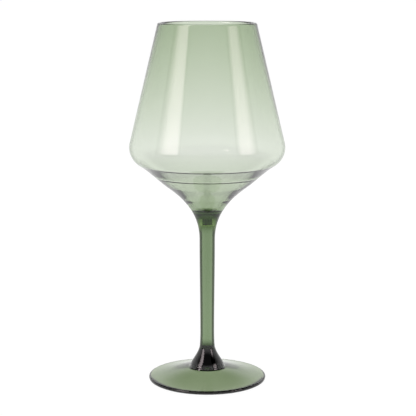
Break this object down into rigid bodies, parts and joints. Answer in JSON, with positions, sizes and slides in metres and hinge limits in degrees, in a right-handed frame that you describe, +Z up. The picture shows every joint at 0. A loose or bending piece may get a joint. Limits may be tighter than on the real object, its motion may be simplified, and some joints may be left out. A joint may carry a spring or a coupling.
{
  "type": "wine glass",
  "caption": "Stemmed wine glass with a flared bowl, angular shoulder and funnel base on a slender stem and dished round foot, in clear sage green.",
  "frame": {"origin": "centre of the foot on the table plane, which is the bottom centre of the bounding box", "axes": "+Z up along the axis of revolution; X and Y are free, since the glass is round"},
  "size_m": [0.099, 0.099, 0.23],
  "materials": {
    "bowl_tint": "clear sage-green tinted copolyester, blown thin, glossy",
    "stem_tint": "clear sage-green tinted copolyester, solid moulding, glossy",
    "foot_tint": "clear sage-green tinted copolyester, moulded plate, glossy"
  },
  "bodies": {
    "root": {"bowl": "bowl_tint", "stem": "stem_tint", "foot": "foot_tint"}
  },
  "joints": []
}
